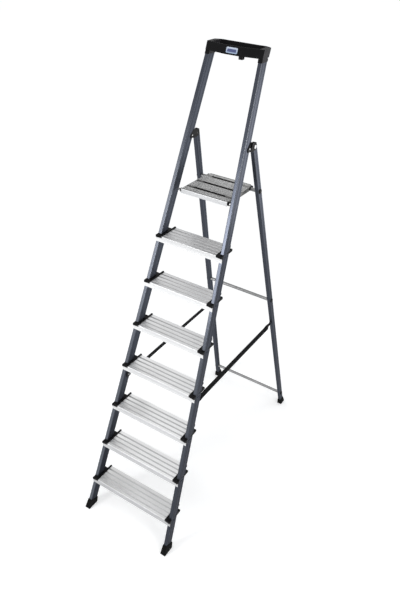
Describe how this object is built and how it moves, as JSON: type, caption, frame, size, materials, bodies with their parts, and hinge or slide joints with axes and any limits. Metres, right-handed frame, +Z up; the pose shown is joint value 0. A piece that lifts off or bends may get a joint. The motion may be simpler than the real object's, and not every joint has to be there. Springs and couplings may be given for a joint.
{
  "type": "folding platform stepladder",
  "caption": "Folding aluminium stepladder with ribbed treads, a tilting standing platform, a tall guard frame and a tool tray on top.",
  "frame": {"origin": "on the floor, in the middle of the ladder's footprint", "axes": "+Z up, +Y from the treads to the rear legs, +X to the right of a person who climbs the ladder"},
  "size_m": [0.5856, 1.5338, 2.513],
  "materials": {
    "frame_aluminium": "blue-grey anodised, satin",
    "tread_aluminium": "natural, extruded with fine ribs",
    "platform_aluminium": "natural, brushed",
    "brace_aluminium": "natural, drawn tube",
    "bright_steel": "zinc plated",
    "black_steel": "black coated",
    "black_plastic": "fine grained",
    "black_rubber": "matt",
    "strap_webbing": "woven webbing",
    "label_film": "printed film without text"
  },
  "bodies": {
    "front_frame": {"left_stile": "frame_aluminium", "right_stile": "frame_aluminium", "left_front_foot": "black_rubber", "right_front_foot": "black_rubber", "tread_1": "tread_aluminium", "tread_2": "tread_aluminium", "tread_3": "tread_aluminium", "tread_4": "tread_aluminium", "tread_5": "tread_aluminium", "tread_6": "tread_aluminium", "tread_7": "tread_aluminium", "left_connector_1": "black_plastic", "right_connector_1": "black_plastic", "left_connector_2": "black_plastic", "right_connector_2": "black_plastic", "left_connector_3": "black_plastic", "right_connector_3": "black_plastic", "left_connector_4": "black_plastic", "right_connector_4": "black_plastic", "left_connector_5": "black_plastic", "right_connector_5": "black_plastic", "left_connector_6": "black_plastic", "right_connector_6": "black_plastic", "left_connector_7": "black_plastic", "right_connector_7": "black_plastic", "tread_rivets": "frame_aluminium", "tool_tray": "black_plastic", "tray_screws": "bright_steel", "tray_label": "label_film", "bucket_hook": "black_plastic", "left_hinge_bracket": "black_plastic", "right_hinge_bracket": "black_plastic", "bracket_rivets": "bright_steel", "hinge_pins": "bright_steel", "platform_pivot_rod": "bright_steel", "left_strap": "strap_webbing", "right_strap": "strap_webbing", "front_strap_plates": "black_steel", "front_strap_rivets": "bright_steel"},
    "rear_frame": {"left_rear_leg": "frame_aluminium", "right_rear_leg": "frame_aluminium", "left_leg_head": "black_plastic", "right_leg_head": "black_plastic", "left_rear_foot": "black_rubber", "right_rear_foot": "black_rubber", "lower_cross_brace": "brace_aluminium", "upper_cross_brace": "brace_aluminium", "platform_rest_rod": "brace_aluminium", "brace_end_caps": "black_plastic", "rear_strap_plates": "black_steel", "rear_strap_rivets": "bright_steel"},
    "platform": {"platform_deck": "platform_aluminium", "platform_strips": "black_rubber", "left_platform_hook": "black_plastic", "right_platform_hook": "black_plastic", "platform_bushes": "black_plastic"}
  },
  "joints": [
    {"name": "rear_fold", "type": "hinge", "parent": "front_frame", "child": "rear_frame", "pos_m": [0, 0.09864, 2.09125], "axis": [-1, 0, 0], "range_deg": [0, 36.5], "deforming": ["left_strap", "right_strap"]},
    {"name": "platform_lift", "type": "hinge", "parent": "front_frame", "child": "platform", "pos_m": [0, -0.047, 1.8375], "axis": [1, 0, 0], "range_deg": [0, 69.35]}
  ],
  "couplings": [
    {"joint": "platform_lift", "follows": "rear_fold", "ratio": 1.9}
  ]
}
